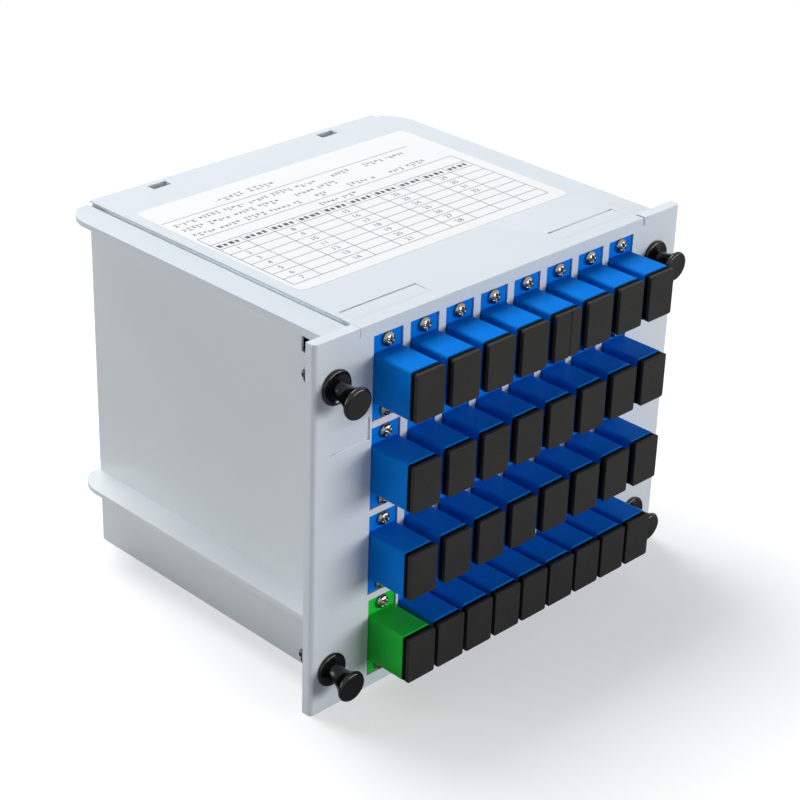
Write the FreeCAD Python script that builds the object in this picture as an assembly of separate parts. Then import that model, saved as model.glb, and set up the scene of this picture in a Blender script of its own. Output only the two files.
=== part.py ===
"""Plug-in fibre splitter cassette with 1 input and 32 output ports.

A moulded tray with side rails carries a front panel with two ears and a snap-on cover. The panel
holds 33 flanged simplex adapters in pockets, two screws each, and every adapter has a push-in dust
cap. Four plunger latches in the ears lock the cassette into its shelf. Inside are the splitter
tube, its fibre coil, the fans of output fibre and the plugs at the back of the adapters.

Millimetres. X runs to the right seen from the front, the front faces -Y and Z is up. The origin is
on the centre line of the underside, in the plane of the panel's back face, which is the plane that
seats against the shelf.
"""
import FreeCAD, Part
import math
import os

# Adapters
flange_w = 9.3
flange_h = 22.0
flange_t = 1.6
body_w = 9.1
body_h = 13.0
body_front = 12.4
body_rear = 11.5
socket_w = 7.45
socket_h = 9.05
socket_depth = 12.5
keyway_h = 2.6
keyway_depth = 8.5
sleeve_r = 1.6
sleeve_len = 4.7
sleeve_sides = 6

# Adapter screws, two to each flange
screw_inset = 1.95
screw_head_r = 1.9
screw_head_t = 1.4
screw_head_sides = 8
screw_shank_r = 0.8
screw_shank_sides = 4
screw_bite = 0.7
screw_clearance = 0.1

# Rows of ports, counted from the bottom
columns = 8
input_row_ports = 9
upper_rows = 3
column_bar = 2.6
input_row_bar = 1.0
row_bar = 2.0
bottom_strip = 3.5
top_strip = 1.0

# Dust caps
cap_gap = 1.2
cap_plate_t = 1.0
cap_plate_w = 9.2
cap_plate_h = 12.5
cap_corner = 0.5
cap_plug_depth = 7.5
cap_clearance = 0.1

# Front panel
panel_t = 3.0
panel_edge_r = 1.2
pocket_depth = 2.0
pocket_clearance = 0.1
side_margin = 4.5
ear_w = 14.2
locating_rim_t = 1.2
locating_rim_depth = 3.0
badge_w = 12.6
badge_h = 6.0
badge_depth = 0.4
badge_inset = 5.3
badge_z = 71.0

# Tray
housing_depth = 98.5
wall = 2.0
floor_t = 2.0
rear_edge_r = 1.0
rail_w = 8.0
rail_t = 1.3
rail_top = 22.1
rail_corner_w = 4.8
rail_corner_len = 8.0
rail_corner_bulge = 1.1
window_y = 9.0
window_len = 7.0
window_h = 4.0
window_drop = 6.5
tongue_x = 30.0
tongue_w = 5.4
tongue_t = 1.5
tongue_root = 8.0
tongue_rise = 1.9
post_w = 3.0
post_h = 12.0

# Cover
strip_t = 1.4
plate_rise = 1.1
plate_inset = 0.3
plate_front_gap = 0.7
cover_skin = 1.6
lip_left_clearance = 0.1
lip_right_clearance = 0.5
slot_w = 6.0
slot_len = 2.9
slot_rear_margin = 1.8
hook_t = 1.4
hook_clearance = 0.2
nub_rear_gap = 1.5
cover_badge_w = 25.0
cover_badge_len = 5.6
cover_badge_depth = 0.2
cover_badge_x = 36.0
cover_badge_y = 1.0

# Port label on the cover
label_w = 95.6
label_len = 63.0
label_t = 0.12
label_x = 0.4
label_y = 52.3
label_corner_r = 2.0

# Latches
latch_left_inset = 6.7
latch_right_inset = 9.1
latch_low_z = 11.3
latch_high_z = 88.6
grommet_disc_r = 4.5
grommet_disc_t = 0.95
grommet_barrel_r = 2.9
grommet_tail = 5.5
latch_hole_clearance = 0.1
plunger_shaft_r = 1.5
plunger_clearance = 0.1
plunger_shaft_sides = 6
plunger_tail = 7.0
knob_sides = 24
knob_r = 4.1
knob_t = 1.2
knob_edge = 0.3
knob_neck_r = 1.95
knob_flare = 3.0
knob_length = 7.0

# Inner pieces
plug_w = 7.2
plug_h = 8.8
plug_len = 14.0
boot_root_w = 5.2
boot_w = 2.6
boot_len = 8.0
fan_t = 0.9
fan_margin = 1.0
comb_w = 12.0
comb_t = 6.0
comb_ahead = 5.0
comb_rise = 6.0
coil_outer_x = 44.0
coil_outer_y = 27.0
coil_band = 7.0
coil_corner = 9.0
coil_h = 8.0
coil_rear_gap = 6.0
tube_len = 55.0
tube_w = 7.0
tube_h = 4.0
tube_gap = 1.0
post_gap = 0.3
post_spread = 14.0
lead_t = 2.0

# What a cut reaches past the piece it cuts, and the least straight end beside a rounded corner
overcut = 1.0
corner_flat = 0.5

# Places worked out from the sizes above
column_pitch = flange_w + column_bar
input_row_pitch = flange_w + input_row_bar
row_pitch = flange_h + row_bar
field_half = (columns * flange_w + (columns - 1) * column_bar) / 2
housing_half = field_half + side_margin
panel_half = housing_half + ear_w
cover_t = strip_t + plate_rise
rows = upper_rows + 1
panel_top = bottom_strip + rows * flange_h + (rows - 1) * row_bar + top_strip
panel_h = panel_top + cover_t
wall_top = panel_top
panel_front = -panel_t
pocket_floor = panel_front + pocket_depth
flange_front = pocket_floor - flange_t
body_front_y = flange_front - body_front
cap_front_y = body_front_y - cap_gap - cap_plate_t
screw_z = flange_h / 2 - screw_inset
latch_left_x = latch_left_inset - panel_half
latch_right_x = panel_half - latch_right_inset
grommet_front = panel_front - grommet_disc_t
boot_end = body_rear + plug_len + boot_len
coil_y = housing_depth - wall - coil_rear_gap - coil_outer_y
comb_y = coil_y - comb_ahead
tube_y = comb_y + comb_t + tube_gap


def vec(x, y, z):
    return FreeCAD.Vector(x, y, z)


def box(x0, x1, y0, y1, z0, z1):
    return Part.makeBox(x1 - x0, y1 - y0, z1 - z0, vec(x0, y0, z0))


def centred(x, z, w, h, y0, y1):
    return box(x - w / 2, x + w / 2, y0, y1, z - h / 2, z + h / 2)


def face_of(points):
    return Part.Face(Part.makePolygon([vec(*p) for p in points + points[:1]]))


def regular_rod(x, z, r, sides, y0, y1):
    """A rod along Y with a regular polygon section, flat side down."""
    turn = math.pi / sides
    ring = [(x + r * math.cos(2 * math.pi * i / sides + turn), y0,
             z + r * math.sin(2 * math.pi * i / sides + turn)) for i in range(sides)]
    return face_of(ring).extrude(vec(0, y1 - y0, 0))


def turned(x, z, profile):
    """A piece turned about an axis along Y; the profile is a list of (radius, y)."""
    outline = [(x + r, y, z) for r, y in profile]
    return face_of(outline).revolve(vec(x, 0, z), vec(0, 1, 0), 360)


def flat_sided_turning(x, z, sides, profile):
    """A closed piece round an axis along Y with a polygon section at each (radius, y) of the profile."""
    angles = [2 * math.pi * (i + 0.5) / sides for i in range(sides)]
    rings = [[(x + r * math.cos(a), y, z + r * math.sin(a)) for a in angles] for r, y in profile]
    bands = [[near[i - 1], near[i], far[i], far[i - 1]]
             for near, far in zip(rings, rings[1:]) for i in range(sides)]
    return Part.Solid(Part.Shell([face_of(f) for f in [rings[0], rings[-1]] + bands]))


def chamfered_rectangle(w, h, corner):
    """Corners of a rectangle about the origin with its four corners cut at 45 degrees."""
    a, b = w / 2, h / 2
    return [(a, -b + corner), (a, b - corner), (a - corner, b), (-a + corner, b),
            (-a, b - corner), (-a, -b + corner), (-a + corner, -b), (a - corner, -b)]


def rounded_plate(x, y, w, length, r, z0, z1):
    plate = box(x - w / 2, x + w / 2, y - length / 2, y + length / 2, z0, z1)
    upright = [e for e in plate.Edges if abs(e.Vertexes[0].Z - e.Vertexes[1].Z) > (z1 - z0) / 2]
    return plate.makeFillet(r, upright)


def side_shelf(side, x0, x1, z0, z1):
    """A shelf along one side, from x0 out to x1, with its rear outer corner swept back in an arc."""
    w, length = min(rail_corner_w, x1 - x0 - corner_flat), rail_corner_len
    out = rail_corner_bulge / math.hypot(w, length)
    a, b, c = vec(x0, 0, z0), vec(x1, 0, z0), vec(x1, housing_depth - length, z0)
    middle = vec(x1 - w / 2 + out * length, housing_depth - length / 2 + out * w, z0)
    d, e = vec(x1 - w, housing_depth, z0), vec(x0, housing_depth, z0)
    edges = [Part.makeLine(a, b), Part.makeLine(b, c), Part.Arc(c, middle, d).toShape(),
             Part.makeLine(d, e), Part.makeLine(e, a)]
    shelf = Part.Face(Part.Wire(edges)).extrude(vec(0, 0, z1 - z0))
    return shelf if side > 0 else shelf.mirror(vec(0, 0, 0), vec(1, 0, 0))


def row_z(row):
    return bottom_strip + flange_h / 2 + row * row_pitch


def port_places(row):
    """(x, z) of each port in a row; the bottom row is narrower pitched and has the input first."""
    count, pitch = (input_row_ports, input_row_pitch) if row == 0 else (columns, column_pitch)
    return [((i - (count - 1) / 2) * pitch, row_z(row)) for i in range(count)]


all_ports = [place for row in range(rows) for place in port_places(row)]


def tapered_block(x, z, w0, y0, w1, y1):
    """A square block along Y that narrows from w0 at y0 to w1 at y1, with flat sides."""
    def corners(w, y):
        return [(x + a * w / 2, y, z + b * w / 2) for a, b in ((-1, -1), (1, -1), (1, 1), (-1, 1))]
    near, far = corners(w0, y0), corners(w1, y1)
    sides = [[near[i], near[i - 1], far[i - 1], far[i]] for i in range(4)]
    return Part.Solid(Part.Shell([face_of(f) for f in [near, far] + sides]))


def moved(shape, x, z):
    copy = shape.copy()
    copy.translate(vec(x, 0, z))
    return copy


def adapter():
    """One flanged adapter on the Y axis: front and rear body, flange, socket and side keyway."""
    solid = centred(0, 0, body_w, body_h, body_front_y, body_rear)
    solid = solid.fuse(centred(0, 0, flange_w, flange_h, flange_front, pocket_floor))
    socket = centred(0, 0, socket_w, socket_h, body_front_y, body_front_y + socket_depth)
    keyway = box(0, body_w / 2 + overcut, body_front_y, body_front_y + keyway_depth,
                 -keyway_h / 2, keyway_h / 2)
    holes = [regular_rod(0, s * screw_z, screw_shank_r + screw_clearance, screw_shank_sides,
                         flange_front, pocket_floor) for s in (-1, 1)]
    return solid.cut([socket, keyway] + holes).removeSplitter()


def dust_cap():
    """Thin front plate with cut corners, held off the adapter by a plug that fills the socket's mouth."""
    ring = [(x, cap_front_y, z) for x, z in chamfered_rectangle(cap_plate_w, cap_plate_h, cap_corner)]
    plate = face_of(ring).extrude(vec(0, cap_plate_t, 0))
    plug = centred(0, 0, socket_w - 2 * cap_clearance, socket_h - 2 * cap_clearance,
                   cap_front_y + cap_plate_t, body_front_y + cap_plug_depth)
    return plate.fuse(plug).removeSplitter()


def screw():
    """Pan-head screw on the Y axis: the head on the flange, the shank through it into the panel."""
    head = regular_rod(0, 0, screw_head_r, screw_head_sides, flange_front - screw_head_t, flange_front)
    shank = regular_rod(0, 0, screw_shank_r, screw_shank_sides, flange_front, pocket_floor + screw_bite)
    return head.fuse(shank).removeSplitter()


def sleeve():
    floor_y = body_front_y + socket_depth
    return regular_rod(0, 0, sleeve_r, sleeve_sides, floor_y - sleeve_len, floor_y)


def front_panel():
    """Plate with rounded front edges, a notch for the cover's lip, pockets and a rear rim."""
    plate = box(-panel_half, panel_half, panel_front, 0, 0, panel_h)
    front_edges = [e for e in plate.Edges
                   if abs(e.Vertexes[0].Z - e.Vertexes[1].Z) > 1 and e.CenterOfMass.y < panel_front / 2]
    plate = plate.makeFillet(panel_edge_r, front_edges)
    rim_half = housing_half - wall - pocket_clearance
    rim_low = floor_t + pocket_clearance
    rim = box(-rim_half, rim_half, 0, locating_rim_depth, rim_low, panel_top)
    inside = box(-rim_half + locating_rim_t, rim_half - locating_rim_t, 0, locating_rim_depth,
                 rim_low, panel_top)
    plate = plate.fuse(rim.cut(inside))
    notch = box(-housing_half, housing_half, panel_front, 0, panel_top, panel_h)
    badge = box(-panel_half + badge_inset, -panel_half + badge_inset + badge_w,
                panel_front, panel_front + badge_depth, badge_z, badge_z + badge_h)
    tools = [notch, badge]
    for x, z in all_ports:
        tools.append(centred(x, z, flange_w + 2 * pocket_clearance, flange_h + 2 * pocket_clearance,
                             panel_front, pocket_floor))
        tools.append(centred(x, z, body_w + 2 * pocket_clearance, body_h + 2 * pocket_clearance,
                             pocket_floor, locating_rim_depth))
    for x, z in latch_places():
        tools.append(Part.makeCylinder(grommet_barrel_r + latch_hole_clearance, panel_t,
                                       vec(x, panel_front, z), vec(0, 1, 0)))
    return plate.cut(tools).removeSplitter()


def base_tray():
    """Open-topped tub with rails, snap windows, rear tongues and posts round the fibre coil."""
    tub = box(-housing_half, housing_half, 0, housing_depth, 0, wall_top)
    rear = [e for e in tub.Edges
            if e.CenterOfMass.y > housing_depth - 0.01 and e.CenterOfMass.z < wall_top - 0.01]
    tub = tub.makeFillet(rear_edge_r, rear)
    inner = housing_half - wall
    tub = tub.cut(box(-inner, inner, 0, housing_depth - wall, floor_t, wall_top))
    extras = [side_shelf(s, housing_half - wall / 2, housing_half + rail_w, rail_top - rail_t, rail_top)
              for s in (-1, 1)]
    for s in (-1, 1):
        extras.append(box(s * tongue_x - tongue_w / 2, s * tongue_x + tongue_w / 2,
                          housing_depth - wall - tongue_t, housing_depth - wall,
                          wall_top - tongue_root, wall_top + tongue_rise))
    for x, y in coil_posts():
        extras.append(box(x - post_w / 2, x + post_w / 2, y - post_w / 2, y + post_w / 2,
                          floor_t, floor_t + post_h))
    tub = tub.fuse(extras)
    windows = box(-housing_half - overcut, housing_half + overcut, window_y, window_y + window_len,
                  wall_top - window_drop - window_h, wall_top - window_drop)
    return tub.cut(windows).removeSplitter()


def top_cover():
    """Raised plate over side strips, with the front lip, rear slots, recesses and snap hooks."""
    plate_half = housing_half - plate_inset
    strips = [side_shelf(s, housing_half - wall, housing_half + rail_w, wall_top, wall_top + strip_t)
              for s in (-1, 1)]
    plate = box(-plate_half, plate_half, plate_front_gap, housing_depth, wall_top, panel_h)
    lip = box(-housing_half + lip_left_clearance, housing_half - lip_right_clearance,
              panel_front, plate_front_gap, panel_top, panel_h)
    hollow = box(-housing_half + wall, housing_half - wall, locating_rim_depth, housing_depth - wall,
                 wall_top, panel_h - cover_skin)
    cover = plate.fuse(strips + [lip]).cut(hollow)
    hook_z = wall_top - window_drop - window_h + hook_clearance
    hook_y = window_y + hook_clearance
    hook_len = window_len - 2 * hook_clearance
    hooks = []
    for s in (-1, 1):
        inner = s * (housing_half - wall - hook_clearance)
        leg = [inner, inner - s * hook_t]
        hooks.append(box(min(leg), max(leg), hook_y, hook_y + hook_len, hook_z, panel_h - cover_skin))
        nub = [inner - s * hook_t / 2, s * (housing_half - hook_clearance - wall / 2)]
        hooks.append(box(min(nub), max(nub), hook_y, hook_y + hook_len - nub_rear_gap,
                         hook_z, hook_z + window_h - 2 * hook_clearance))
    cover = cover.fuse(hooks)
    slot_y = housing_depth - slot_rear_margin - slot_len
    tools = [box(s * tongue_x - slot_w / 2, s * tongue_x + slot_w / 2, slot_y, slot_y + slot_len,
                 wall_top, panel_h) for s in (-1, 1)]
    tools += [box(s * cover_badge_x - cover_badge_w / 2, s * cover_badge_x + cover_badge_w / 2,
                  cover_badge_y, cover_badge_y + cover_badge_len, panel_h - cover_badge_depth, panel_h)
              for s in (-1, 1)]
    return cover.cut(tools).removeSplitter()


def port_label():
    return rounded_plate(label_x, label_y, label_w, label_len, label_corner_r, panel_h, panel_h + label_t)


def latch_places():
    return [(x, z) for z in (latch_high_z, latch_low_z) for x in (latch_left_x, latch_right_x)]


def latch_grommet(x, z):
    """Disc on the panel's face and a barrel that stands out behind the ear for the shelf's hole."""
    solid = turned(x, z, [(0, grommet_front), (grommet_disc_r, grommet_front),
                          (grommet_disc_r, panel_front), (grommet_barrel_r, panel_front),
                          (grommet_barrel_r, grommet_tail), (0, grommet_tail)])
    return solid.cut(regular_rod(x, z, plunger_shaft_r + plunger_clearance, plunger_shaft_sides,
                                 grommet_front, grommet_tail))


def latch_plunger(x, z):
    """Trumpet-shaped knob that seats on the grommet, with a six-sided shaft through the bore."""
    front = grommet_front - knob_length
    back = front + knob_t
    knob = flat_sided_turning(x, z, knob_sides, [
        (knob_r - knob_edge, front), (knob_r, front + knob_edge), (knob_r, back),
        (knob_neck_r, back + knob_flare), (knob_neck_r, grommet_front)])
    shaft = regular_rod(x, z, plunger_shaft_r, plunger_shaft_sides, grommet_front, plunger_tail)
    return knob.fuse(shaft).removeSplitter()


def inner_plug():
    """Plug body on the rear of an adapter with its tapered boot, on the Y axis."""
    boot_y = body_rear + plug_len
    body = centred(0, 0, plug_w, plug_h, body_rear, boot_y)
    boot = tapered_block(0, 0, boot_root_w, boot_y, boot_w, boot_end)
    return body.fuse(boot).removeSplitter()


def output_fan(row):
    """The fibres of one row drawn together from the boots to the comb, as one flat web."""
    places = port_places(row)[1 if row == 0 else 0:]
    z0 = row_z(row) - fan_t / 2
    x0, x1 = places[0][0] - boot_w / 2, places[-1][0] + boot_w / 2
    half = comb_w / 2 - fan_margin
    web = face_of([(x0, boot_end, z0), (x1, boot_end, z0), (half, comb_y, z0), (-half, comb_y, z0)])
    return web.extrude(vec(0, 0, fan_t))


def fan_comb():
    """Upright comb on the floor that gathers the fans of fibre of all rows."""
    return box(-comb_w / 2, comb_w / 2, comb_y, comb_y + comb_t, floor_t, row_z(rows - 1) + comb_rise)


def coil_posts():
    """Places of the floor posts: four inside the coil's long sides, two at the splitter tube's ends."""
    dy = coil_outer_y - coil_band - post_w / 2 - post_gap
    dx = tube_len / 2 + post_w / 2 + post_gap
    places = [(sx * post_spread, coil_y + sy * dy) for sx in (-1, 1) for sy in (-1, 1)]
    return places + [(sx * dx, tube_y + tube_w / 2) for sx in (-1, 1)]


def fibre_coil():
    """Spare fibre wound on the tray floor round the posts."""
    def ring(inset, corner):
        return face_of([(x, coil_y + y, floor_t) for x, y in chamfered_rectangle(
            2 * (coil_outer_x - inset), 2 * (coil_outer_y - inset), corner)])
    return ring(0, coil_corner).cut(ring(coil_band, coil_corner - coil_band / 2)).extrude(vec(0, 0, coil_h))


def splitter_tube():
    """Steel tube that holds the waveguide chip, laid across the floor inside the coil."""
    return box(-tube_len / 2, tube_len / 2, tube_y, tube_y + tube_w, floor_t, floor_t + tube_h)


def input_lead():
    """Input fibre from the boot of the input plug back and down on to the middle of the coil."""
    x, z = port_places(0)[0]
    drop_y = coil_y + lead_t / 2
    run = centred(x, z, lead_t, lead_t, boot_end, drop_y)
    drop = box(x - lead_t / 2, x + lead_t / 2, drop_y - lead_t, drop_y, floor_t + coil_h, z)
    return run.fuse(drop).removeSplitter()


def row_of(shape, row, first=0):
    return [moved(shape, x, z) for x, z in port_places(row)[first:]]


def build():
    one_adapter, one_cap, one_plug = adapter(), dust_cap(), inner_plug()
    nodes = {"base_tray": [base_tray()], "front_panel": [front_panel()], "top_cover": [top_cover()],
             "port_label": [port_label()]}
    for row in range(1, rows):
        nodes[f"adapters_row_{row}"] = row_of(one_adapter, row)
    nodes["adapters_row_0"] = row_of(one_adapter, 0, 1)
    nodes["input_adapter"] = row_of(one_adapter, 0)[:1]
    nodes["adapter_screws"] = [moved(screw(), x, z + s * screw_z) for x, z in all_ports for s in (-1, 1)]
    nodes["alignment_sleeves"] = [moved(sleeve(), x, z) for x, z in all_ports]
    nodes["latch_grommets"] = [latch_grommet(x, z) for x, z in latch_places()]
    for name, (x, z) in zip(("upper_left", "upper_right", "lower_left", "lower_right"), latch_places()):
        nodes[f"plunger_{name}"] = [latch_plunger(x, z)]
    for row in range(rows):
        for i, (x, z) in enumerate(port_places(row)):
            name = "dust_cap_input" if row == 0 and i == 0 else f"dust_cap_r{row}_{i if row == 0 else i + 1}"
            nodes[name] = [moved(one_cap, x, z)]
    nodes["output_plugs"] = [s for row in range(rows) for s in row_of(one_plug, row, 1 if row == 0 else 0)]
    nodes["input_plug"] = row_of(one_plug, 0)[:1]
    nodes["output_fans"] = [output_fan(row) for row in range(rows)]
    nodes["fan_comb"] = [fan_comb()]
    nodes["fibre_coil"] = [fibre_coil()]
    nodes["splitter_tube"] = [splitter_tube()]
    nodes["input_lead"] = [input_lead()]
    return nodes


def save(nodes):
    os.makedirs("parts", exist_ok=True)
    for name, solids in nodes.items():
        shape = solids[0] if len(solids) == 1 else Part.makeCompound(solids)
        shape.exportStep(f"parts/{name}.step")


save(build())
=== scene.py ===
"""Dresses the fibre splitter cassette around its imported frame.

Everything ends up in metres in the frame's own axes: X to the right seen from the front, the front
faces -Y and Z is up. Shapes are worked out in millimetres, as arrays, round an axis along Y through
the origin, and are then moved to the places that the frame gives.
"""
import math
import bmesh
import bpy
import numpy as np
from mathutils import Matrix, Vector


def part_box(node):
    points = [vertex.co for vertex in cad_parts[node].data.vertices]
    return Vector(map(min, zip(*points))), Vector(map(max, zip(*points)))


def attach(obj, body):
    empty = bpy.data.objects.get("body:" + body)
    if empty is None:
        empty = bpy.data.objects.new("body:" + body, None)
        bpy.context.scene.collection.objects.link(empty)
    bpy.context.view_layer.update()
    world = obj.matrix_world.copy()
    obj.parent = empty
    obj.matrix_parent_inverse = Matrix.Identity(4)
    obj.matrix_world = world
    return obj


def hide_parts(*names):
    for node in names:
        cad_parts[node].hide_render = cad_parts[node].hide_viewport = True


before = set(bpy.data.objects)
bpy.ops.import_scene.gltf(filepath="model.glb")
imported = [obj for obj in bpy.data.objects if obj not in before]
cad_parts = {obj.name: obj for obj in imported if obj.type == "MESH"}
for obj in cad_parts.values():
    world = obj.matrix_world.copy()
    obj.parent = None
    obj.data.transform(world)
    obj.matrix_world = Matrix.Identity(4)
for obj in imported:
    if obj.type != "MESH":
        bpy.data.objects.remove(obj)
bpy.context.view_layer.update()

MM = 0.001
ROOT = "cassette"
PICTURE = 800

# Adapter, millimetres
body_w, body_h = 9.1, 13.0
body_corner = 0.9
body_edge = 0.1
socket_w, socket_h = 7.45, 9.05
socket_corner = 0.4
socket_depth = 12.5
keyway_h = 2.6
keyway_depth = 8.5
flange_corner = 1.1
flange_edge = 0.2
flange_front, flange_back = -2.6, -1.0
holder_r = 2.35
holder_len = 4.2
hook_w, hook_t, hook_len = 2.6, 0.7, 4.6

# Dust cap
cap_t = 1.0
cap_corner = 0.6
cap_roll = 0.14
cap_wall = 0.9
# Black block of painted shade behind each cap's plate: how much smaller than the plate it is, and its gap to
# the adapter
shade_block_inset, shade_block_gap = 0.16, 0.08
gate_r = 0.25
gate_depth = 0.08
seamed_cap = "dust_cap_r3_5"
seam_share = 0.6
seam_w = 0.14
seam_depth = 0.3

# Screw
screw_inset = 1.95
screw_r = 1.9
screw_rim = 0.4
recess_w, recess_len, recess_depth = 0.6, 2.2, 0.95
cross_turn = 137.5

# Latch
panel_face = -3.0
bore_r = 1.65
disc_r = 4.5
barrel_r = 2.9
dish_depth = 0.35
leg_gap = 0.7
leg_len = 4.2
shaft_r = 1.45
knob_r = 4.1
knob_rim = 1.1
neck_r = 2.25
neck_flare = 4.4
knob_droop = {"plunger_upper_left": 1.6, "plunger_lower_left": 1.6,
              "plunger_upper_right": 0.4, "plunger_lower_right": 1.5}
knob_lean = {"plunger_upper_left": 0.0, "plunger_lower_left": 0.0,
             "plunger_upper_right": -0.6, "plunger_lower_right": -1.2}
knob_nod = 0.08

# Cover and tray
housing_half, housing_depth = 50.8, 98.5
plate_half, plate_rise, plate_front = 50.5, 1.1, 0.7
# Groove at the foot of the raised plate, and the plate's skin over its undercut
groove_w, groove_depth, undercut, plate_skin = 0.3, 0.4, 0.8, 0.35
panel_bevel, tray_bevel, cover_bevel = 0.2, 0.2, 0.15
# Snap window in the tray's side: its rear end, its heights, and how thick its outer rim is
window_end, window_low, window_high, window_rim = 15.8, 88.12, 92.12, 1.0
# The wider hollow behind that rim, its sides as distances in from the tray's outer face
hollow_out, hollow_in, hollow_low, hollow_high, hollow_len = 0.6, 3.0, 87.6, 92.6, 5.0
# Notch in the cover's hook, behind the window
notch_len, notch_past = 2.8, 0.5
notch_out, notch_in, notch_low, notch_high = 0.9, 5.0, 87.5, 93.0
# Slit between the lip's right end and the ear, its sides as distances in from the tray's outer face
slit_out, slit_in, slit_h = 0.3, 0.85, 9.0
# Badge recesses and the fine lines round them: on the ear as x, x, z, z and on the cover as x, x, y, y
line_w, line_past, line_depth = 0.22, 0.05, 0.35
ear_badge, ear_badge_floor = (-59.7, -47.1, 71.0, 77.0), -2.6
lid_badge, lid_badge_depth = (23.5, 48.5, 1.0, 6.6), 0.2
# Tray's rear tongues: middle, half width, start, distance from the rear, depth below the cover's top
tongue_x, tongue_half, tongue_start, tongue_end, tongue_sink = 30.0, 4.0, 90.0, 1.9, 1.9
# How far a cutter reaches past the surface that it opens, and how far those of fine lines and the slit do
overrun, line_overrun, slit_overrun = 1.0, 0.2, 0.5

# Label print
print_gap = 0.01
rule_w = 0.2
table_left, table_top = -46.1, 51.8
table_columns, table_rows = 10, 7
column_w, row_h = 9.02, 3.86
header_top = 55.4
box_top = 60.4
figure_h = 2.5
ports_on_label = 32
stroke_w = 0.26
title_rule_left, title_rule_right, title_rule_y = -47.0, 40.0, 73.6
heading_low, heading_high = 52.8, 54.4
heading_start, heading_step, heading_w = 0.8, 1.9, 1.3
print_lines = [(76.8, 2.7, [(-25.6, -2.0)]), (70.7, 2.1, [(-45.2, 4.4), (8.6, 17.4), (20.9, 38.8)]),
               (66.8, 2.1, [(-45.2, -10.0), (-7.8, 9.8)]),
               (62.7, 2.1, [(-45.2, -8.4), (-4.2, 3.0), (7.6, 18.0), (22.4, 37.2)]),
               (57.8, 2.0, [(-7.2, 6.8)])]


def box_mm(node):
    """Lowest and highest corner of a CAD node at rest, in millimetres."""
    low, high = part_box(node)
    return np.array(low) / MM, np.array(high) / MM


def axis_of(node):
    """(x, z) of the middle of a CAD node, in millimetres."""
    low, high = box_mm(node)
    return (low[0] + high[0]) / 2, (low[2] + high[2]) / 2


# Meshes

def grid_faces(rings, around, loop=False):
    """Four-sided faces between each ring of a grid and the next; with loop, the last joins the first."""
    i = np.arange(rings if loop else rings - 1)[:, None]
    j = np.arange(around)[None, :]
    next_i, next_j = (i + 1) % rings, (j + 1) % around
    corners = np.broadcast_arrays(i * around + j, i * around + next_j, next_i * around + next_j,
                                  next_i * around + j)
    return np.stack(corners, -1).reshape(-1, 4).tolist()


def volume(points, faces):
    """Six times the signed volume inside the faces, each cut into a fan of triangles."""
    fans = np.array([(f[0], f[i], f[i + 1]) for f in faces for i in range(1, len(f) - 1)])
    a, b, c = points[fans[:, 0]], points[fans[:, 1]], points[fans[:, 2]]
    return np.einsum("ij,ij->i", a, np.cross(b, c)).sum()


def shell(grid, loop=False):
    """Closed surface over a grid of rings, faces outwards: its two ends are filled, or joined by loop."""
    rings, around = grid.shape[:2]
    points = grid.reshape(-1, 3)
    faces = grid_faces(rings, around, loop)
    if not loop:
        last = (rings - 1) * around
        faces += [list(range(around))[::-1], list(range(last, last + around))]
    if volume(points, faces) < 0:
        faces = [f[::-1] for f in faces]
    return points, faces


def joined(parts):
    """Several (points, faces) pairs as one."""
    points, faces, start = [], [], 0
    for p, f in parts:
        points.append(p)
        faces += [[i + start for i in face] for face in f]
        start += len(p)
    return np.concatenate(points), faces


def shifted(part, x=0.0, y=0.0, z=0.0):
    """The part moved along the axes."""
    points, faces = part
    return points + np.array([x, y, z]), faces


def repeated(part, places):
    """A copy of the part at each (x, z)."""
    return joined([shifted(part, x=x, z=z) for x, z in places])


def rounded_outline(w, h, r, steps=4):
    """Rounded rectangle in x and z: four quarter circles of radius r, joined by straight sides."""
    turn = np.linspace(0, math.pi / 2, steps + 1)
    centres = [(w / 2 - r, h / 2 - r, 0), (-w / 2 + r, h / 2 - r, 1),
               (-w / 2 + r, -h / 2 + r, 2), (w / 2 - r, -h / 2 + r, 3)]
    arcs = [np.stack([x + r * np.cos(turn + q * math.pi / 2), z + r * np.sin(turn + q * math.pi / 2)], 1)
            for x, z, q in centres]
    return np.concatenate(arcs)


def loft(levels, steps=4):
    """Rings of rounded rectangles, one for each (w, h, r, y), carried along Y."""
    rings = []
    for w, h, r, y in levels:
        outline = rounded_outline(w, h, r, steps)
        rings.append(np.stack([outline[:, 0], np.full(len(outline), y), outline[:, 1]], 1))
    return shell(np.array(rings))


def turned_grid(profile, angles):
    """Point (r, y) of the profile goes to r cos a, y, r sin a at each angle a."""
    r, y = np.array(profile, float).T
    return np.stack([r[:, None] * np.cos(angles), np.repeat(y[:, None], len(angles), 1),
                     r[:, None] * np.sin(angles)], -1)


def turned(profile, sides=40, loop=False):
    """Surface of revolution about Y; with loop, the profile is a closed line, as of a ring."""
    return shell(turned_grid(profile, np.arange(sides) * 2 * math.pi / sides), loop)


def sector(profile, start, stop, steps=8):
    """A closed profile carried round Y from one angle to another, with both ends filled."""
    return shell(turned_grid(profile, np.linspace(start, stop, steps)).transpose(1, 0, 2))


def piece(name, part, body, finish, replaces=()):
    """Makes a mesh object from (points, faces) in millimetres and puts it on its body."""
    points, faces = part
    mesh = bpy.data.meshes.new(name)
    mesh.from_pydata((points * MM).tolist(), [], faces)
    return dressed(name, mesh, body, finish, replaces)


def dressed(name, mesh, body, finish, replaces=()):
    """Makes an object of the mesh, smooth but for its sharp edges, and puts it on its body."""
    mesh.shade_smooth()
    mesh.set_sharp_from_angle(angle=math.radians(50))
    mesh.materials.append(finish)
    made = bpy.data.objects.new(name, mesh)
    bpy.context.scene.collection.objects.link(made)
    even = made.modifiers.new("even_normals", "WEIGHTED_NORMAL")
    even.keep_sharp = True
    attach(made, body)
    if replaces:
        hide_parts(*replaces)
    return made


# Finishes

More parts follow.
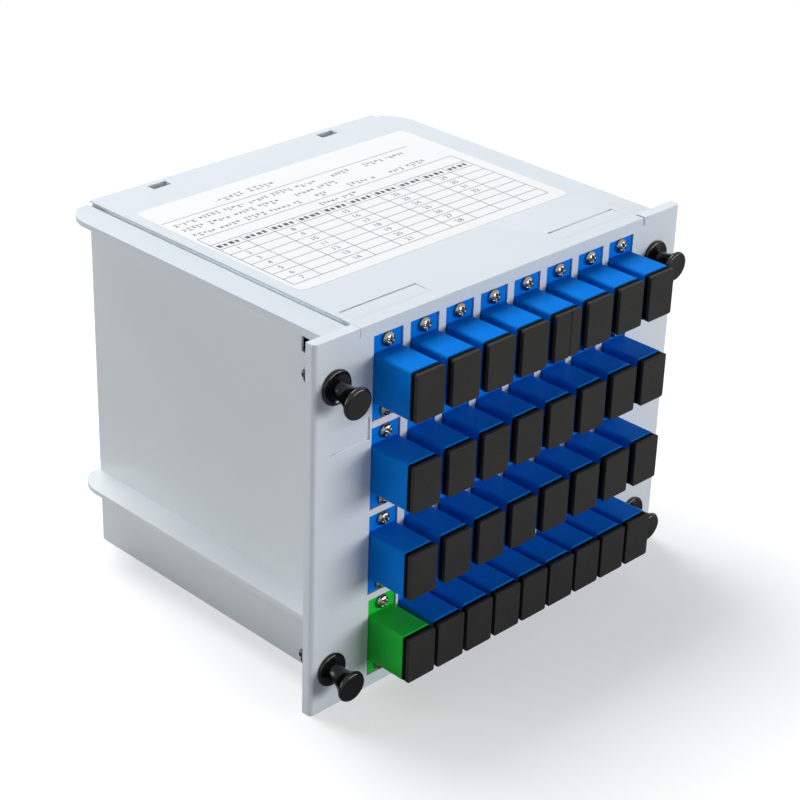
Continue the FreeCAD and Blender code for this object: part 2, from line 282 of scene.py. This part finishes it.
def colour(text):
    """sRGB hex to linear red, green, blue and alpha."""
    c = np.array([int(text[i:i + 2], 16) for i in (1, 3, 5)]) / 255
    linear = np.where(c <= 0.04045, c / 12.92, ((c + 0.055) / 1.055) ** 2.4)
    return (*linear.tolist(), 1.0)


def add(tree, kind, inputs=None, **settings):
    """Adds a shader node with its settings; an input is a plain value or another node's output."""
    made = tree.nodes.new("ShaderNode" + kind)
    for name, value in settings.items():
        setattr(made, name, value)
    for key, value in (inputs or {}).items():
        if isinstance(value, bpy.types.NodeSocket):
            tree.links.new(value, made.inputs[key])
        else:
            made.inputs[key].default_value = value
    return made


def empty_tree(owner):
    """Node tree of a material or world, without the nodes that it starts with."""
    owner.use_nodes = True
    owner.node_tree.nodes.clear()
    return owner.node_tree


def moulded(name, dark, light, rough, grain, relief, cloud, inputs):
    """A cloudy tint between two colours, a grained skin and a roughness that drifts with the clouds.

    grain, relief and cloud are the size of the grain, its height and the size of the clouds, all in
    millimetres; rough is the lowest and highest roughness.
    """
    finish = bpy.data.materials.new(name)
    tree = empty_tree(finish)
    shader = add(tree, "BsdfPrincipled", inputs)
    add(tree, "OutputMaterial", {"Surface": shader.outputs[0]})
    place = add(tree, "TexCoord").outputs["Object"]
    clouds = add(tree, "TexNoise", {"Vector": place, "Scale": 1 / (cloud * MM), "Detail": 3.0}).outputs[0]
    tint = add(tree, "Mix", {0: clouds, 6: colour(dark), 7: colour(light)}, data_type="RGBA")
    tree.links.new(tint.outputs[2], shader.inputs["Base Color"])
    drift = add(tree, "MapRange", {"Value": clouds, "From Min": 0.3, "From Max": 0.7,
                                   "To Min": rough[0], "To Max": rough[1]})
    tree.links.new(drift.outputs[0], shader.inputs["Roughness"])
    skin = add(tree, "TexNoise", {"Vector": place, "Scale": 1 / (grain * MM), "Detail": 2.0}).outputs[0]
    bump = add(tree, "Bump", {"Height": skin, "Distance": relief * MM, "Strength": 1.0})
    tree.links.new(bump.outputs[0], shader.inputs["Normal"])
    return finish


def tray_abs():
    """Moulded ABS, light grey: a fairly smooth mould leaves a soft sheen that mirrors the rail."""
    return moulded("abs_tray", "#DCE3E6", "#E3E9EC", (0.18, 0.24), 0.5, 0.001, 28,
                   {"IOR": 1.53, "Specular IOR Level": 0.5})


def panel_abs():
    """Moulded ABS from the smoothest mould, so the adapters show faintly in it."""
    return moulded("abs_panel", "#DDE4EC", "#E2E9F0", (0.2, 0.26), 0.4, 0.0008, 24,
                   {"IOR": 1.53, "Specular IOR Level": 0.5})


def cover_abs():
    """Moulded ABS, the palest of the three mouldings, with the finest of grains."""
    return moulded("abs_cover", "#D6DFE5", "#DCE4EA", (0.46, 0.54), 0.4, 0.0015, 30,
                   {"IOR": 1.53, "Specular IOR Level": 0.35})


def blue_pbt():
    """Moulded PBT, deep blue: a satin skin with a strong colour and hardly any sheen."""
    return moulded("blue_pbt", "#0376DB", "#0880E5", (0.38, 0.46), 0.25, 0.003, 6,
                   {"IOR": 1.5, "Specular IOR Level": 0.02})


def green_pbt():
    """Moulded PBT, leaf green, as the blue one."""
    return moulded("green_pbt", "#14C236", "#20CC40", (0.38, 0.46), 0.25, 0.003, 6,
                   {"IOR": 1.5, "Specular IOR Level": 0.15})


def cap_rubber():
    """Moulded soft PVC, warm black: a dull face that takes a grey sheen from the light."""
    return moulded("cap_pvc", "#2C2C2B", "#333332", (0.45, 0.55), 0.3, 0.003, 5,
                   {"IOR": 1.5, "Specular IOR Level": 0.1})


def painted_shade_black():
    """Painted shade: a dull deep black on the block behind each cap's plate, standing for the shaded gap
    between plate and adapter.
    """
    return moulded("painted_shade_black", "#070707", "#0B0B0B", (0.6, 0.7), 0.3, 0.003, 5,
                   {"IOR": 1.5, "Specular IOR Level": 0.03})


def black_nylon():
    """Moulded nylon from a polished mould: deep black with small sharp highlights."""
    return moulded("black_nylon", "#060706", "#0A0B0A", (0.08, 0.13), 0.6, 0.001, 4,
                   {"IOR": 1.53, "Specular IOR Level": 0.38})


def nickel():
    """Nickel plated steel screws, barrel plated, so the shine is broken by fine pits."""
    return moulded("nickel_plate", "#85827C", "#A3A09A", (0.14, 0.24), 0.2, 0.003, 0.8, {"Metallic": 1.0})


def zirconia():
    """Polished zirconia sleeve: white, dense and glossy."""
    return moulded("zirconia", "#ECE9E0", "#F3F1EA", (0.1, 0.16), 0.2, 0.0005, 2, {"IOR": 2.1})


def label_film():
    """Matt white film label: nearly flat, with the faint orange peel of its glue."""
    return moulded("label_film", "#EEF0F1", "#F4F5F6", (0.55, 0.63), 1.2, 0.002, 20,
                   {"IOR": 1.48, "Specular IOR Level": 0.25})


def label_ink():
    """Grey-black ribbon print on the label, patchy where the ribbon was worn."""
    return moulded("label_ink", "#181A1D", "#5A5D60", (0.45, 0.6), 0.3, 0.0005, 0.6, {"IOR": 1.5})


def fibre_jacket():
    """Extruded white fibre jacket: smooth, with a waxy sheen."""
    return moulded("fibre_jacket", "#E6E6DF", "#F0F0EA", (0.3, 0.4), 0.9, 0.02, 4, {"IOR": 1.46})


def steel():
    """Drawn steel tube with fine marks along it."""
    return moulded("drawn_steel", "#A9ABAD", "#BBBDBF", (0.25, 0.4), 0.4, 0.002, 3, {"Metallic": 1.0})


def plug_plastic(name, dark, light):
    """Moulded plastic of the plugs and the comb inside the tray."""
    return moulded(name, dark, light, (0.4, 0.5), 0.3, 0.004, 5, {"IOR": 1.5})


# Adapters

def wall_tube(mouth, depth):
    """Front wall of the adapter: a wall section with bevelled lips, carried round the mouth.

    The path runs round a rounded rectangle from the top edge of the keyway round to its bottom edge.
    Each point of the section is such a path at its own width, height, corner and depth.
    """
    def open_path(w, h, r, y):
        ring = rounded_outline(w, h, r)
        path = np.concatenate([[[w / 2, keyway_h / 2]], ring, [[w / 2, -keyway_h / 2]]])
        return np.stack([path[:, 0], np.full(len(path), y), path[:, 1]], 1)
    e, lip = body_edge, mouth + body_edge
    paths = [open_path(body_w, body_h, body_corner, mouth + depth),
             open_path(body_w, body_h, body_corner, lip),
             open_path(body_w - 0.6 * e, body_h - 0.6 * e, body_corner - 0.3 * e, mouth + 0.3 * e),
             open_path(body_w - 2 * e, body_h - 2 * e, body_corner - e, mouth),
             open_path(socket_w + e, socket_h + e, socket_corner + e / 2, mouth),
             open_path(socket_w, socket_h, socket_corner, lip),
             open_path(socket_w, socket_h, socket_corner, mouth + depth)]
    return shell(np.array(paths).transpose(1, 0, 2))


def adapter_block(mouth, rear):
    """The rest of the adapter as one run of outlines: socket floor, socket, body, flange, rear body."""
    step = mouth + keyway_depth
    floor = mouth + socket_depth
    low, high = box_mm("input_adapter")
    flange_w, flange_h = high[0] - low[0], high[2] - low[2]
    edge, inset = flange_edge, 2 * flange_edge
    return loft([
        (socket_w, socket_h, socket_corner, floor), (socket_w, socket_h, socket_corner, step),
        (body_w, body_h, body_corner, step), (body_w, body_h, body_corner, flange_front),
        (flange_w - inset, flange_h - inset, flange_corner - edge, flange_front),
        (flange_w, flange_h, flange_corner, flange_front + edge),
        (flange_w, flange_h, flange_corner, flange_back),
        (body_w, body_h, body_corner, flange_back), (body_w, body_h, body_corner, rear - edge),
        (body_w - inset, body_h - inset, body_corner - edge, rear)])


def sleeve_holder(floor):
    """Round collar on the socket floor that carries the ceramic sleeve."""
    tip = floor - holder_len
    return turned([(1.62, floor), (1.62, tip), (holder_r - 0.2, tip), (holder_r, tip + 0.2),
                   (holder_r, floor)], 28, loop=True)


def plug_hooks(floor):
    """Two flat arms from the socket floor, each with a barb at its tip, that hold the plug."""
    hooks = []
    for side in (-1, 1):
        z = side * (socket_h / 2 - 0.45)
        arm = loft([(hook_w, hook_t, 0.12, floor), (hook_w, hook_t, 0.12, floor - hook_len + 0.9),
                    (hook_w, hook_t + 0.7, 0.12, floor - hook_len + 0.5),
                    (hook_w, hook_t - 0.2, 0.12, floor - hook_len)], 2)
        hooks.append(shifted(arm, z=z - side * hook_t / 2))
    return joined(hooks)


def adapter():
    """One adapter: front wall, block, sleeve collar and plug hooks, in the frame adapter's depth."""
    low, high = box_mm("input_adapter")
    mouth, rear = low[1], high[1]
    floor = mouth + socket_depth
    return joined([wall_tube(mouth, keyway_depth), adapter_block(mouth, rear),
                   sleeve_holder(floor), plug_hooks(floor)])


def sleeves(places):
    """Ceramic sleeves: a thin tube on each socket floor, a little proud of its collar."""
    low, high = box_mm("alignment_sleeves")
    front, back = low[1], high[1]
    tube = turned([(1.25, back), (1.25, front + 0.1), (1.35, front), (1.5, front), (1.6, front + 0.1),
                   (1.6, back)], 24, loop=True)
    return repeated(tube, places)


# Dust caps

def cap_face(w, h, front, back):
    """Front layer of a cap: a rounded rectangle whose front edge is rolled over."""
    r, e = cap_corner, cap_roll
    return [(w - 2 * e, h - 2 * e, r - e, front), (w - 0.6 * e, h - 0.6 * e, r - 0.3 * e, front + 0.3 * e),
            (w, h, r, front + e), (w, h, r, back)]


def dust_cap(node):
    """Thin plate with rounded corners and a hollow plug behind it, as one run of outlines.

    The plate starts in the small round pit that the gate of the mould leaves. The plate of one cap
    is parted by a seam: two front layers stand side by side on a common back layer.
    """
    low, high = box_mm(node)
    w, h = high[0] - low[0], high[2] - low[2]
    front, back = low[1], high[1]
    plate_back = front + cap_t
    plug_w, plug_h = socket_w - 0.2, socket_h - 0.2
    bore_w, bore_h = plug_w - 2 * cap_wall, plug_h - 2 * cap_wall
    seamed = node == seamed_cap
    pit = [(2 * gate_r - 0.1, 2 * gate_r - 0.1, gate_r - 0.05, front + gate_depth),
           (2 * gate_r, 2 * gate_r, gate_r, front)]
    if seamed:
        face = cap_face(w, h, front + seam_depth, plate_back - 0.1)
    else:
        face = pit + cap_face(w, h, front, plate_back - 0.1)
    cap = loft(face + [
        (w - 0.2, h - 0.2, cap_corner - 0.1, plate_back),
        (plug_w, plug_h, socket_corner, plate_back),
        (plug_w, plug_h, socket_corner, back - 0.5),
        (plug_w - 0.5, plug_h - 0.5, socket_corner - 0.1, back),
        (bore_w, bore_h, 0.25, back), (bore_w, bore_h, 0.25, plate_back + 0.4)])
    if not seamed:
        return cap
    left_w, right_w = w * seam_share - seam_w / 2, w * (1 - seam_share) - seam_w / 2
    layers = [shifted(loft(cap_face(wide, h, front, front + seam_depth + 0.1)), x=x)
              for wide, x in ((left_w, (left_w - w) / 2), (right_w, (w - right_w) / 2))]
    return joined([cap] + layers)


def cap_shade_block(node):
    """Painted shade: a black block round the root of the plug, between the cap's plate and the adapter,
    standing for the dark shaded gap there.
    """
    low, high = box_mm(node)
    w, h = high[0] - low[0] - shade_block_inset, high[2] - low[2] - shade_block_inset
    front, back = low[1] + cap_t - 0.05, box_mm("input_adapter")[0][1] - shade_block_gap
    return loft([(w, h, cap_corner - 0.1, front), (w, h, cap_corner - 0.1, back)])


# Screws

def pan_screw(front, seat):
    """Round pan head with a cross recess, as a height over a disc of rings and spokes.

    The height falls off from the middle as the side of a flattened ball and ends in an upright rim.
    Inside the cross it drops to the recess floor, which slopes up towards the ends of its arms.
    """
    spokes = 40
    share = np.array([0.03, 0.09, 0.16, 0.24, 0.34, 0.45, 0.55, 0.64, 0.76, 0.87, 0.95, 1.0])
    radius = share * screw_r
    a = np.arange(spokes) * 2 * math.pi / spokes
    x, z = radius[:, None] * np.cos(a), radius[:, None] * np.sin(a)
    dome = np.sqrt(np.clip(1 - share ** 2.2, 0, 1))[:, None] + 0 * x
    height = screw_rim + (seat - front - screw_rim) * dome
    near, far = np.minimum(abs(x), abs(z)), np.maximum(abs(x), abs(z))
    inside = np.clip((recess_w / 2 - near) / 0.1, 0, 1) * np.clip((recess_len / 2 - far) / 0.14, 0, 1)
    height = height - inside * recess_depth * (1 - 0.5 * far / (recess_len / 2))
    top = np.stack([x, seat - height, z], -1)
    skirt = np.stack([x[-1], np.full(spokes, seat), z[-1]], -1)
    return shell(np.concatenate([top, skirt[None]]))


def screws(places):
    """Every screw's cross is turned by its own angle, stepped by the golden angle."""
    one, faces = pan_screw(box_mm("adapter_screws")[0][1], flange_front)
    parts = []
    for i, (x, z) in enumerate(places):
        a = i * math.radians(cross_turn)
        turn = np.array([[math.cos(a), 0, math.sin(a)], [0, 1, 0], [-math.sin(a), 0, math.cos(a)]])
        parts.append((one @ turn + np.array([x, 0, z]), faces))
    return joined(parts)


# Latches

def grommet():
    """Dished disc with a rolled rim whose side draws in towards the panel, and the barrel behind it.

    The disc and the first part of the barrel are a closed profile turned about Y. The rest of the
    barrel is split into four legs with a barb at their ends, each a profile carried round a sector.
    """
    low, high = box_mm("latch_grommets")
    front, tail = low[1], high[1]
    root = tail - leg_len
    ring = turned([(bore_r, root), (bore_r, front + dish_depth + 0.1), (neck_r, front + dish_depth),
                   (3.1, front + dish_depth * 0.8), (3.6, front + 0.08), (3.8, front), (4.05, front + 0.03),
                   (4.28, front + 0.15), (4.43, front + 0.34), (disc_r, front + 0.58),
                   (4.4, panel_face - 0.1), (4.1, panel_face),
                   (barrel_r - 0.2, panel_face), (barrel_r - 0.2, root)], 56, loop=True)
    leg = [(bore_r, root - 0.05), (barrel_r - 0.2, root - 0.05), (barrel_r - 0.2, root + 1.4),
           (barrel_r, root + 2.2), (barrel_r, root + 2.7), (2.3, tail), (bore_r, tail)]
    half_gap = leg_gap / 2 / barrel_r
    legs = [sector(leg, q * math.pi / 2 + half_gap, (q + 1) * math.pi / 2 - half_gap) for q in range(4)]
    return joined([ring] + legs)


def plunger(node):
    """Knob on a shaft: a bevelled flat head, a trumpet-shaped back, a straight neck and the shaft.

    The trumpet's radius falls from the head's to the neck's with the square of the way to go. The
    knob sags: every point moves down, aside and a little forward, in proportion to its way from the
    grommet.
    """
    low, high = box_mm(node)
    front, tail = low[1], high[1]
    seat = box_mm("latch_grommets")[0][1]
    back = front + knob_rim
    way = np.linspace(0, 1, 12)[1:]
    trumpet = [(neck_r + (knob_r - 0.15 - neck_r) * (1 - t) ** 2, back + neck_flare * t) for t in way]
    head = [(3.3, front + 0.04), (3.45, front), (3.65, front + 0.03), (3.85, front + 0.14),
            (4.0, front + 0.32), (knob_r, front + 0.6), (knob_r, back - 0.15), (knob_r - 0.15, back)]
    shaft = [(neck_r, seat + dish_depth), (shaft_r, seat + dish_depth), (shaft_r, tail)]
    profile = head + trumpet + shaft
    points, faces = turned(profile, 48)
    way = np.clip((seat - points[:, 1]) / (seat - front), 0, 1)
    sag = np.stack([knob_lean[node] * way, -knob_nod * points[:, 2] * way, -knob_droop[node] * way], 1)
    return points + sag, faces


# Label

def bars(rectangles, z):
    """Flat rectangles at height z, each given as (x0, x1, y0, y1)."""
    box = np.array(rectangles)
    corners = np.stack([box[:, [0, 1, 1, 0]], box[:, [2, 2, 3, 3]], np.full((len(box), 4), z)], -1)
    return corners.reshape(-1, 3), np.arange(4 * len(box)).reshape(-1, 4).tolist()


def digits(text, x, y, z, height):
    """Figures as a flat mesh, centred at x, y."""
    curve = bpy.data.curves.new("figures", "FONT")
    curve.body, curve.size, curve.align_x, curve.align_y = text, height, "CENTER", "CENTER"
    curve.resolution_u = 2
    writer = bpy.data.objects.new("figures", curve)
    bpy.context.scene.collection.objects.link(writer)
    bpy.context.view_layer.update()
    mesh = bpy.data.meshes.new_from_object(writer)
    points = np.array([v.co for v in mesh.vertices]) + np.array([x, y, z])
    faces = [list(p.vertices) for p in mesh.polygons]
    bpy.data.objects.remove(writer)
    return points, faces


def text_lines():
    """Lines of print as rows of marks that spell nothing, a wide gap after every fifth.

    Each line is (y, height, stretches of x). A mark is a post between a lower and an upper stroke.
    Its width and the heights of its strokes vary with the sines of its number.
    """
    blocks, step = [], 0
    for y, h, stretches in print_lines:
        for x, stop in stretches:
            while x < stop - h:
                step += 1
                wide = h * (0.3 + 0.3 * math.sin(step * 2.4) ** 2)
                low = y - h / 2 + h * (0.5 * math.sin(step * 1.7) ** 2)
                high = y - h / 2 + h * (0.6 + 0.4 * math.sin(step * 2.9) ** 2)
                post = x + wide / 2 - stroke_w / 2
                blocks += [(x, x + wide, low, low + stroke_w), (x, x + wide, high - stroke_w, high),
                           (post, post + stroke_w, low, high)]
                x += wide + h * (0.22 if step % 5 else 0.8)
    return blocks


def rules():
    """Ruled lines of the table, the box of its heading and the line under the title."""
    right = table_left + table_columns * column_w
    bottom = table_top - table_rows * row_h
    t = rule_w / 2
    lines = [(table_left, right, y - t, y + t)
             for y in [table_top - i * row_h for i in range(table_rows + 1)] + [box_top, header_top]]
    lines.append((title_rule_left, title_rule_right, title_rule_y - t, title_rule_y + t))
    for i in range(table_columns + 1):
        x = table_left + i * column_w
        top = box_top if i in (0, table_columns) else header_top
        lines.append((x - t, x + t, bottom, top))
    return lines


def header_blocks():
    """Bold column headings as short dark blocks, four to a column, every other one slimmer."""
    blocks = []
    for i in range(table_columns):
        for k in range(4):
            x = table_left + i * column_w + heading_start + k * heading_step
            blocks.append((x, x + heading_w - 0.3 * (k % 2), heading_low, heading_high - 0.2 * ((i + k) % 2)))
    return blocks


def label_print(z):
    """Rules, headings and the numbers of the ports, in five pairs of columns."""
    parts = [bars(rules() + text_lines() + header_blocks(), z)]
    for port in range(ports_on_label):
        x = table_left + (port // table_rows * 2 + 0.5) * column_w
        y = table_top - (port % table_rows + 0.5) * row_h
        parts.append(digits(str(port + 1), x, y, z, figure_h))
    return joined(parts)


def label():
    """Film with rounded corners; its top lies just under the print."""
    low, high = box_mm("port_label")
    outline = rounded_outline(high[0] - low[0], high[1] - low[1], 2.0, 8)
    outline = outline + (low[:2] + high[:2]) / 2
    rings = [np.column_stack([outline, np.full(len(outline), z)]) for z in (low[2], high[2] - 2 * print_gap)]
    return shell(np.array(rings))


# Mouldings whose own CAD shape is right

def sided(inner, outer, *rest):
    """The same box on the left and on the right, from distances to the middle and the rest of it."""
    near, far = sorted((inner, outer))
    return [(-far, -near, *rest), (near, far, *rest)]


def border(u0, u1, v0, v1):
    """Four thin rectangles along the border of a rectangle, each as (u0, u1, v0, v1)."""
    w, e = line_w, line_past
    return [(u0 - e, u1 + e, v0 - e, v0 + w), (u0 - e, u1 + e, v1 - w, v1 + e),
            (u0 - e, u0 + w, v0 - e, v1 + e), (u1 - w, u1 + e, v0 - e, v1 + e)]


def cut_out(mesh, boxes):
    """The mesh less some boxes, each given in millimetres as (x0, x1, y0, y1, z0, z1)."""
    body = bpy.data.objects.new("body", mesh.copy())
    for x0, x1, y0, y1, z0, z1 in boxes:
        ring = np.array([[(x0, y, z0), (x1, y, z0), (x1, y, z1), (x0, y, z1)] for y in (y0, y1)])
        points, faces = shell(ring)
        block = bpy.data.meshes.new("block")
        block.from_pydata((points * MM).tolist(), [], faces)
        tool = bpy.data.objects.new("block", block)
        bpy.context.scene.collection.objects.link(tool)
        tool.hide_render = True
        cut = body.modifiers.new("cut", "BOOLEAN")
        cut.operation, cut.solver, cut.object = "DIFFERENCE", "EXACT", tool
    bpy.context.scene.collection.objects.link(body)
    bpy.context.view_layer.update()
    left = bpy.data.meshes.new_from_object(body.evaluated_get(bpy.context.evaluated_depsgraph_get()))
    for cut in list(body.modifiers):
        bpy.data.objects.remove(cut.object)
    bpy.data.objects.remove(body)
    return left


def softened(node, width, finish, cuts=()):
    """The moulding's own shape with small cuts and with its edges rounded, as the mould leaves them.

    The edges of the cuts stay sharp.
    """
    def in_cut(middle):
        return any(all(b[2 * k] - 0.1 < middle[k] < b[2 * k + 1] + 0.1 for k in range(3)) for b in cuts)
    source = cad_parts[node].data
    shape = bmesh.new()
    shape.from_mesh(cut_out(source, cuts) if cuts else source)
    bmesh.ops.remove_doubles(shape, verts=shape.verts, dist=1e-6)
    bmesh.ops.dissolve_limit(shape, angle_limit=math.radians(2), verts=shape.verts, edges=shape.edges)
    weight = shape.edges.layers.float.new("bevel_weight_edge")
    for edge in shape.edges:
        middle = (edge.verts[0].co + edge.verts[1].co) / 2 / MM
        bent = len(edge.link_faces) == 2 and edge.calc_face_angle() > math.radians(30)
        edge[weight] = float(bent and not in_cut(middle))
    mesh = bpy.data.meshes.new(node + "_soft")
    shape.to_mesh(mesh)
    shape.free()
    mesh.materials.clear()
    made = dressed(node + "_soft", mesh, ROOT, finish, [node])
    rounding = made.modifiers.new("rounded_edges", "BEVEL")
    rounding.width = width * MM
    rounding.segments = 2
    rounding.limit_method = "WEIGHT"
    made.modifiers.move(1, 0)
    return made


# Camera, light and floor

def photo_camera():
    """The photograph's camera: azimuth -45.53, elevation 27.32, turned 1.909 degrees clockwise.

    Its fit counts the middles of the picture's dots at whole numbers, so the lens is shifted by half
    a dot each way.
    """
    position = Vector((-351.083, -311.202, 305.224)) * MM
    ahead = Vector((0.63400787, 0.62235526, -0.45902936)).normalized()
    side = ahead.cross(Vector((0, 0, 1))).normalized()
    above = side.cross(ahead)
    roll = math.radians(1.909)
    right = math.cos(roll) * side + math.sin(roll) * above
    up = math.cos(roll) * above - math.sin(roll) * side
    lens = bpy.data.cameras.new("camera")
    lens.sensor_width = 36.0
    lens.lens = 36.0 * 2096.203 / PICTURE
    lens.shift_x, lens.shift_y = -0.5 / PICTURE, 0.5 / PICTURE
    lens.clip_start, lens.clip_end = 0.01, 50
    camera = bpy.data.objects.new("camera", lens)
    turn = Matrix((right, up, -ahead)).transposed().to_4x4()
    camera.matrix_world = Matrix.Translation(position) @ turn
    bpy.context.scene.collection.objects.link(camera)
    bpy.context.scene.camera = camera


def softbox(name, place, aim, size, power):
    """White rectangular lamp that faces the point aimed at."""
    data = bpy.data.lights.new(name, "AREA")
    data.shape = "RECTANGLE"
    data.size, data.size_y = size
    data.energy = power
    lamp = bpy.data.objects.new(name, data)
    lamp.location = place
    lamp.rotation_euler = (Vector(aim) - Vector(place)).to_track_quat("-Z", "Y").to_euler()
    bpy.context.scene.collection.objects.link(lamp)


def background_rays(tree):
    """1 for the rays that show the background: the camera's, and those mirrored or let through."""
    path = add(tree, "LightPath")
    seen = add(tree, "Math", {0: path.outputs["Is Camera Ray"], 1: path.outputs["Is Glossy Ray"]},
               operation="MAXIMUM")
    return add(tree, "Math", {0: seen.outputs[0], 1: path.outputs["Is Transmission Ray"]},
               operation="MAXIMUM").outputs[0]


def studio():
    """Softboxes above and behind, low at the left and low in front to the right, and a weak sky."""
    softbox("key", (0.0, 0.75, 1.4), (0, 0.03, 0.08), (0.8, 0.8), 20.5)
    softbox("side", (-1.3, 0.7, 0.5), (0, 0.03, 0.05), (0.9, 0.9), 7.8)
    softbox("fill", (0.75, -1.35, 0.26), (0, 0, 0.05), (1.2, 0.5), 15)
    world = bpy.data.worlds.new("studio")
    bpy.context.scene.world = world
    tree = empty_tree(world)
    sky = add(tree, "Background", {"Color": colour("#F2F5FA"), "Strength": 0.15})
    white = add(tree, "Background", {"Color": colour("#FFFFFF"), "Strength": 1.0})
    mixed = add(tree, "MixShader", {0: background_rays(tree), 1: sky.outputs[0], 2: white.outputs[0]})
    add(tree, "OutputWorld", {"Surface": mixed.outputs[0]})


def white_floor():
    """Matt floor, grey to mirrors and to the light it throws back, and white to the eye, where it
    keeps the shadow.

    Past the shadow it blends, with the distance from the object, into the plain white background.
    """
    half, near, far = 2.5, 0.22, 0.42
    mesh = bpy.data.meshes.new("floor")
    corners = [(-half, -half, 0), (half, -half, 0), (half, half, 0), (-half, half, 0)]
    mesh.from_pydata(corners, [], [(0, 1, 2, 3)])
    floor = bpy.data.objects.new("floor", mesh)
    bpy.context.scene.collection.objects.link(floor)
    finish = bpy.data.materials.new("floor_paint")
    tree = empty_tree(finish)
    seen = add(tree, "LightPath").outputs["Is Camera Ray"]
    place = add(tree, "TexCoord").outputs["Object"]
    reach = add(tree, "VectorMath", {0: place}, operation="LENGTH").outputs["Value"]
    away = add(tree, "MapRange", {"Value": reach, "From Min": near, "From Max": far},
               interpolation_type="SMOOTHSTEP").outputs[0]
    tint = add(tree, "Mix", {0: seen, 6: colour("#B4B4B4"), 7: colour("#D5D5D5")}, data_type="RGBA")
    paint = add(tree, "BsdfDiffuse", {"Color": tint.outputs[2]})
    lift = add(tree, "Emission", {"Color": colour("#FFFFFF"), "Strength": 0.45})
    lifted = add(tree, "AddShader", {0: paint.outputs[0], 1: lift.outputs[0]})
    white = add(tree, "Emission", {"Color": colour("#FFFFFF"), "Strength": 1.0})
    shown = add(tree, "MixShader", {0: away, 1: lifted.outputs[0], 2: white.outputs[0]})
    both = add(tree, "MixShader", {0: seen, 1: paint.outputs[0], 2: shown.outputs[0]})
    add(tree, "OutputMaterial", {"Surface": both.outputs[0]})
    mesh.materials.append(finish)


# Dressing

def dress_ports():
    """Adapters, sleeves, caps and screws, all placed by the caps' own axes."""
    caps = sorted(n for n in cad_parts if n.startswith("dust_cap_"))
    blue, green, black, painted_shade = blue_pbt(), green_pbt(), cap_rubber(), painted_shade_black()
    one = adapter()
    for row in range(4):
        places = [axis_of(n) for n in caps if n.startswith(f"dust_cap_r{row}_")]
        node = f"adapters_row_{row}"
        piece(node + "_shells", repeated(one, places), ROOT, blue, [node])
    everywhere = [axis_of(n) for n in caps]
    piece("input_adapter_shell", repeated(one, [axis_of("dust_cap_input")]), ROOT, green,
          ["input_adapter"])
    piece("ceramic_sleeves", sleeves(everywhere), ROOT, zirconia(), ["alignment_sleeves"])
    for node in caps:
        x, z = axis_of(node)
        piece(node + "_cover", shifted(dust_cap(node), x=x, z=z), node, black, [node])
        # A black block of painted shade behind each cap's plate, for the dark gap between plate and adapter
        piece(node + "_shade_block", shifted(cap_shade_block(node), x=x, z=z), node, painted_shade)
    screw_z = box_mm("input_adapter")[1][2] - axis_of("dust_cap_input")[1] - screw_inset
    spots = [(x, z + s * screw_z) for x, z in everywhere for s in (-1, 1)]
    piece("pan_screws", screws(spots), ROOT, nickel(), ["adapter_screws"])


def dress_latches():
    """Grommets on the panel, and each plunger on a body of its own."""
    nylon = black_nylon()
    nodes = sorted(knob_droop)
    piece("grommets", repeated(grommet(), [axis_of(n) for n in nodes]), ROOT, nylon,
          ["latch_grommets"])
    for node in nodes:
        x, z = axis_of(node)
        piece(node + "_knob", shifted(plunger(node), x=x, z=z), node, nylon, [node])


def dress_label():
    """Film on the cover, and its print just over it."""
    top = box_mm("port_label")[1][2]
    piece("label_sheet", label(), ROOT, label_film(), ["port_label"])
    piece("label_figures", label_print(top - print_gap), ROOT, label_ink())


def tray_cuts(top):
    """The tray's rear tongues end below the cover's top, and its windows widen behind a rim."""
    tongues = sided(tongue_x - tongue_half, tongue_x + tongue_half, tongue_start,
                    housing_depth - tongue_end, top - tongue_sink, top + overrun)
    mouths = sided(housing_half - hollow_in, housing_half + overrun, window_end, window_end + window_rim,
                   window_low, window_high)
    hollows = sided(housing_half - hollow_in, housing_half - hollow_out, window_end,
                    window_end + hollow_len, hollow_low, hollow_high)
    return tongues + mouths + hollows


def panel_cuts():
    """A fine line round the badge recess of the ear."""
    return [(x0, x1, panel_face - line_overrun, ear_badge_floor + line_depth, z0, z1)
            for x0, x1, z0, z1 in border(*ear_badge)]


def cover_cuts(top):
    """Undercut grooves along the raised plate, notches in the hooks, the lip's slit and badge lines."""
    grooves = sided(plate_half - undercut, plate_half + groove_w, plate_front, housing_depth + overrun,
                    top - plate_rise - groove_depth, top - plate_skin)
    notches = sided(housing_half - notch_in, housing_half - notch_out, window_end - notch_len,
                    window_end + notch_past, notch_low, notch_high)
    slit = (housing_half - slit_in, housing_half - slit_out, panel_face - slit_overrun, plate_front,
            top - slit_h, top + overrun)
    lines = [box for x0, x1, y0, y1 in border(*lid_badge)
             for box in sided(x0, x1, y0, y1, top - lid_badge_depth - line_depth, top + line_overrun)]
    return grooves + notches + [slit] + lines


def dress_mouldings():
    """Tray, panel and cover keep their own shapes, with cuts too fine for the frame and soft edges."""
    top = box_mm("top_cover")[1][2]
    softened("base_tray", tray_bevel, tray_abs(), tray_cuts(top))
    softened("front_panel", panel_bevel, panel_abs(), panel_cuts())
    softened("top_cover", cover_bevel, cover_abs(), cover_cuts(top))


def dress_inside():
    """The pieces inside the closed tray keep their own shapes."""
    jacket = fibre_jacket()
    finishes = {"output_plugs": plug_plastic("blue_plug", "#1458AE", "#2068C6"),
                "input_plug": plug_plastic("green_plug", "#1F9A30", "#2EAA40"),
                "output_fans": jacket, "fibre_coil": jacket, "input_lead": jacket,
                "fan_comb": plug_plastic("comb_plastic", "#D4D7DA", "#DEE1E4"), "splitter_tube": steel()}
    for node, finish in finishes.items():
        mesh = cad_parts[node].data
        mesh.materials.clear()
        mesh.materials.append(finish)


bpy.context.scene.view_settings.view_transform = "Standard"
photo_camera()
studio()
white_floor()
dress_mouldings()
dress_ports()
dress_latches()
dress_label()
dress_inside()
